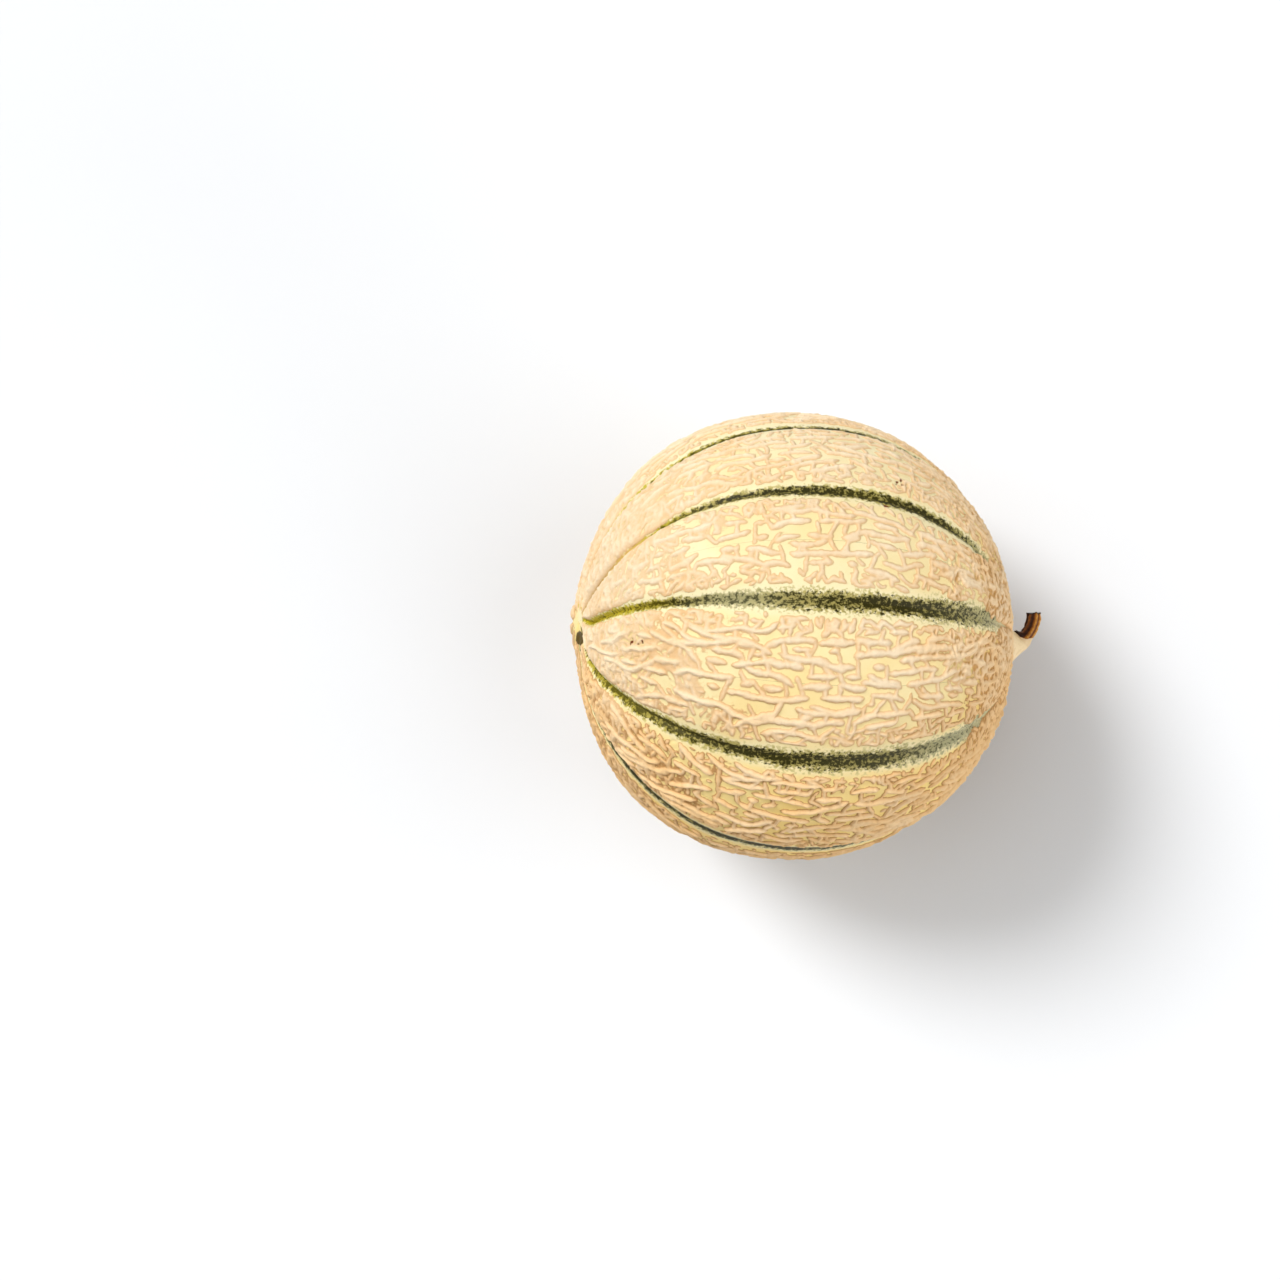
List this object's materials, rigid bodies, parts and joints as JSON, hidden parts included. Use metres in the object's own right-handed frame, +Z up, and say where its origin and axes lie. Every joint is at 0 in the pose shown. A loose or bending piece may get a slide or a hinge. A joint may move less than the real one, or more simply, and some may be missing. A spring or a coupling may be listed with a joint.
{
  "type": "cantaloupe melon",
  "caption": "Whole ripe netted cantaloupe with green furrows and a dried stem stub, lying on its side on a small flat spot.",
  "frame": {"origin": "middle of the flat spot that the melon rests on", "axes": "+Z up from the surface it rests on; +X from the blossom end towards the stem end; +Y completes the right-handed set, and the stem bends towards it"},
  "size_m": [0.1533, 0.142, 0.1409],
  "materials": {
    "netted_rind": "corky pale tan netting over a pale yellow rind, with mottled dark green furrows",
    "dried_stem": "dry, ridged, dark to golden brown"
  },
  "bodies": {
    "root": {"melon_fruit": "netted_rind", "stem": "dried_stem"}
  },
  "joints": []
}
